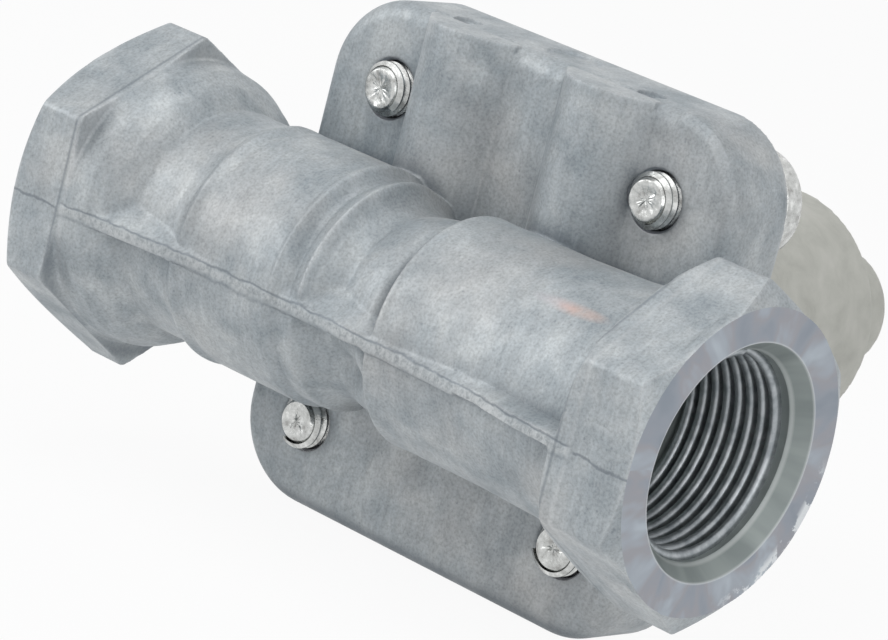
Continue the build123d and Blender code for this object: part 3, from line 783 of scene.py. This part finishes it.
springs = {  # sizes in mm; fixedEnd is where the spring stays
    "main_spring": {"piece": "mainSpring", "axis": (0, 1, 0), "centre": (42.3, 0, 0), "low": 20.8, "high": 52.2,
                    "coilR": 9.1, "wireR": 1.13, "turns": 5.5, "joint": "valve_lift", "fixedEnd": 52.2, "travel": 2.5},
    "check_spring": {"piece": "checkSpring", "axis": (1, 0, 0), "centre": (0, 0, 0), "low": 19.8, "high": 29.0,
                     "coilR": 2.9, "wireR": 0.34, "turns": 5.5, "joint": "check_lift", "fixedEnd": 19.8, "travel": 3.0},
}


def makeSpring(node, size):
    margin = size["wireR"] + 0.02
    made = grownFromTree(size["piece"], coilTree, {
        "Turns": size["turns"], "Coil Radius": size["coilR"] * mm, "Wire Radius": size["wireR"] * mm,
        "Height": (size["high"] - size["low"] - 2 * margin) * mm, "Steps": 48, "Metal": springSteel})
    along = Vector(size["axis"])
    start = millimetres(*size["centre"]) + along * (size["low"] + margin) * mm
    turn = Vector((0, 0, 1)).rotation_difference(along).to_matrix().to_4x4()
    made.data.transform(Matrix.Translation(start) @ turn)
    work = bmesh.new()
    work.from_mesh(made.data)
    outward(work)
    work.to_mesh(made.data)
    work.free()
    made.data.polygons.foreach_set("use_smooth", [True] * len(made.data.polygons))
    made.data.set_sharp_from_angle(angle=math.radians(50))
    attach(made, "housing")
    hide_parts(node)
    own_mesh(made)
    return made


for nodeName, springSize in springs.items():
    makeSpring(nodeName, springSize)
print("springs ready")


rubberDisc = {  # the diaphragm in mm: a centre on the piston and a rolled rim held in the flange
    "sectors": 12,
    "steps": 6,
    "centreR": 13.0,
    "rimR": 15.9,
    "centre": [(16.6, 0), (16.6, 12.2), (17.4, 13.0), (18.6, 13.0), (18.6, 0)],
    "rim": [(17.4, 13.0), (18.2, 13.7), (18.6, 14.45), (18.4, 15.2), (18.02, 15.9), (18.02, 18.72), (17.22, 18.72),
            (17.22, 21.18), (19.18, 21.18), (19.18, 15.9), (19.6, 15.2), (19.8, 14.45), (19.5, 13.7), (18.6, 13.0)],
}


def makeDiaphragm():
    axisX = valve["bonnetAxisX"]
    work = bmesh.new()
    turnedShape(work, rubberDisc["centre"], "y", 72, (axisX, 0, 0))
    outward(work)
    centre = linkNew("diaphragmCentre", meshFromBm("diaphragmCentre", work))
    centre.data.materials.append(blackRubber)
    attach(centre, "piston")
    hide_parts("diaphragm")
    turn = 2 * math.pi / rubberDisc["sectors"]
    for k in range(rubberDisc["sectors"]):
        work = bmesh.new()
        slices = []
        for i in range(rubberDisc["steps"] + 1):
            angle = turn * (k + i / rubberDisc["steps"])
            slices.append([work.verts.new(millimetres(axisX + r * math.sin(angle), y, r * math.cos(angle)))
                           for y, r in rubberDisc["rim"]])
        for near, far in zip(slices, slices[1:]):
            for j in range(len(near)):
                n = (j + 1) % len(near)
                work.faces.new([near[j], near[n], far[n], far[j]])
        work.faces.new(slices[0])
        work.faces.new(slices[-1])
        outward(work)
        sector = linkNew(f"diaphragmRim{k + 1}", meshFromBm(f"diaphragmRim{k + 1}", work))
        sector.data.materials.append(blackRubber)
        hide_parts("diaphragm")
        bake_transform(sector)


makeDiaphragm()
print("diaphragm ready")


# Nodes that keep their shape

for nodeName, metal in {
    "piston": plateMetal, "spring_cup": platedSteel,
    "adjusting_screw": platedSteel, "end_plug": plugPlastic, "check_poppet": turnedBrass,
    "check_seal": blackRubber, "check_guide": turnedBrass,
    "retaining_ring": springSteel, "lock_washer_1": platedSteel, "lock_washer_2": platedSteel,
    "lock_washer_3": platedSteel, "lock_washer_4": platedSteel,
}.items():
    nodes[nodeName].data.materials.clear()
    nodes[nodeName].data.materials.append(metal)


# Floor, light and camera

studio = {
    "cameraPlace": (308.57, -326.04, 98.87),
    "azimuth": 38.82,
    "elevation": 13.17,
    "roll": 14.47,
    "focalPixels": 4221.0,
    "photoWidth": 888.0,
    "sensorWidth": 36.0,
    "floorColour": (0.93, 0.93, 0.93),
    "worldColour": (0.80, 0.82, 0.85),
    "worldStrength": 0.46,
}


def makeCamera():
    data = bpy.data.cameras.new("photoCamera")
    camera = linkNew("photoCamera", data)
    around, up = math.radians(studio["azimuth"]), math.radians(studio["elevation"])
    look = Vector((-math.cos(up) * math.sin(around), math.cos(up) * math.cos(around), -math.sin(up)))
    turn = look.to_track_quat("-Z", "Y") @ Quaternion((0, 0, 1), math.radians(studio["roll"]))
    camera.matrix_world = Matrix.Translation(millimetres(*studio["cameraPlace"])) @ turn.to_matrix().to_4x4()
    data.sensor_width = studio["sensorWidth"]
    data.lens = studio["focalPixels"] / studio["photoWidth"] * studio["sensorWidth"]
    data.clip_start = 0.01
    data.clip_end = 20
    bpy.context.scene.camera = camera


def seenDirectly(tree):  # where the camera looks, also by way of metal or glass
    path = putNode(tree, "ShaderNodeLightPath")
    return mathNode(tree, "MAXIMUM", path.outputs["Is Camera Ray"],
                    mathNode(tree, "MAXIMUM", path.outputs["Is Glossy Ray"], path.outputs["Is Transmission Ray"]))


def makeWorld():
    world = bpy.data.worlds.new("studioWorld")
    world.use_nodes = True
    tree = world.node_tree
    tree.nodes.clear()
    plain = putNode(tree, "ShaderNodeBackground", {
        "Color": (*studio["worldColour"], 1), "Strength": studio["worldStrength"]})
    white = putNode(tree, "ShaderNodeBackground", {"Color": (1, 1, 1, 1), "Strength": 1.0})
    mix = putNode(tree, "ShaderNodeMixShader", {0: seenDirectly(tree), 1: plain.outputs[0], 2: white.outputs[0]})
    out = putNode(tree, "ShaderNodeOutputWorld", {"Surface": mix.outputs[0]})
    bpy.context.scene.world = world
    return out


def makeFloor():
    low = -28.3
    work = bmesh.new()
    size = 3000
    corners = [work.verts.new(millimetres(valve["bonnetAxisX"] + x * size, y * size, low))
               for x, y in ((-1, -1), (1, -1), (1, 1), (-1, 1))]
    work.faces.new(corners)
    floor = linkNew("studioFloor", meshFromBm("studioFloor", work))
    made, tree, shader, place = newMaterial("floorPaint")
    shader.inputs["Base Color"].default_value = (*studio["floorColour"], 1)
    shader.inputs["Roughness"].default_value = 0.9
    glow = putNode(tree, "ShaderNodeEmission", {"Color": (1, 1, 1, 1), "Strength": 1.0})
    share = mathNode(tree, "MULTIPLY", seenDirectly(tree), 0.93)
    mix = putNode(tree, "ShaderNodeMixShader", {0: share, 1: shader.outputs[0], 2: glow.outputs[0]})
    tree.links.new(mix.outputs[0], tree.nodes["Material Output"].inputs["Surface"])
    floor.data.materials.append(made)
    return floor


def makeSoftbox(name, place, target, size, power):
    data = bpy.data.lights.new(name, "AREA")
    data.shape = "RECTANGLE"
    data.size, data.size_y = size[0] * mm, size[1] * mm
    data.energy = power
    lamp = linkNew(name, data)
    aim = (millimetres(*target) - millimetres(*place)).to_track_quat("-Z", "Y")
    lamp.matrix_world = Matrix.Translation(millimetres(*place)) @ aim.to_matrix().to_4x4()
    return lamp


makeCamera()
makeWorld()
makeFloor()
makeSoftbox("topBox", (0, -150, 520), (45, 10, 0), (500, 500), 0.85)
makeSoftbox("leftBox", (-420, -380, 240), (45, 0, 0), (300, 400), 0.85)
makeSoftbox("rightBox", (520, -180, 160), (60, 0, 0), (250, 350), 0.42)
bpy.context.scene.view_settings.view_transform = "Standard"
print("studio ready")
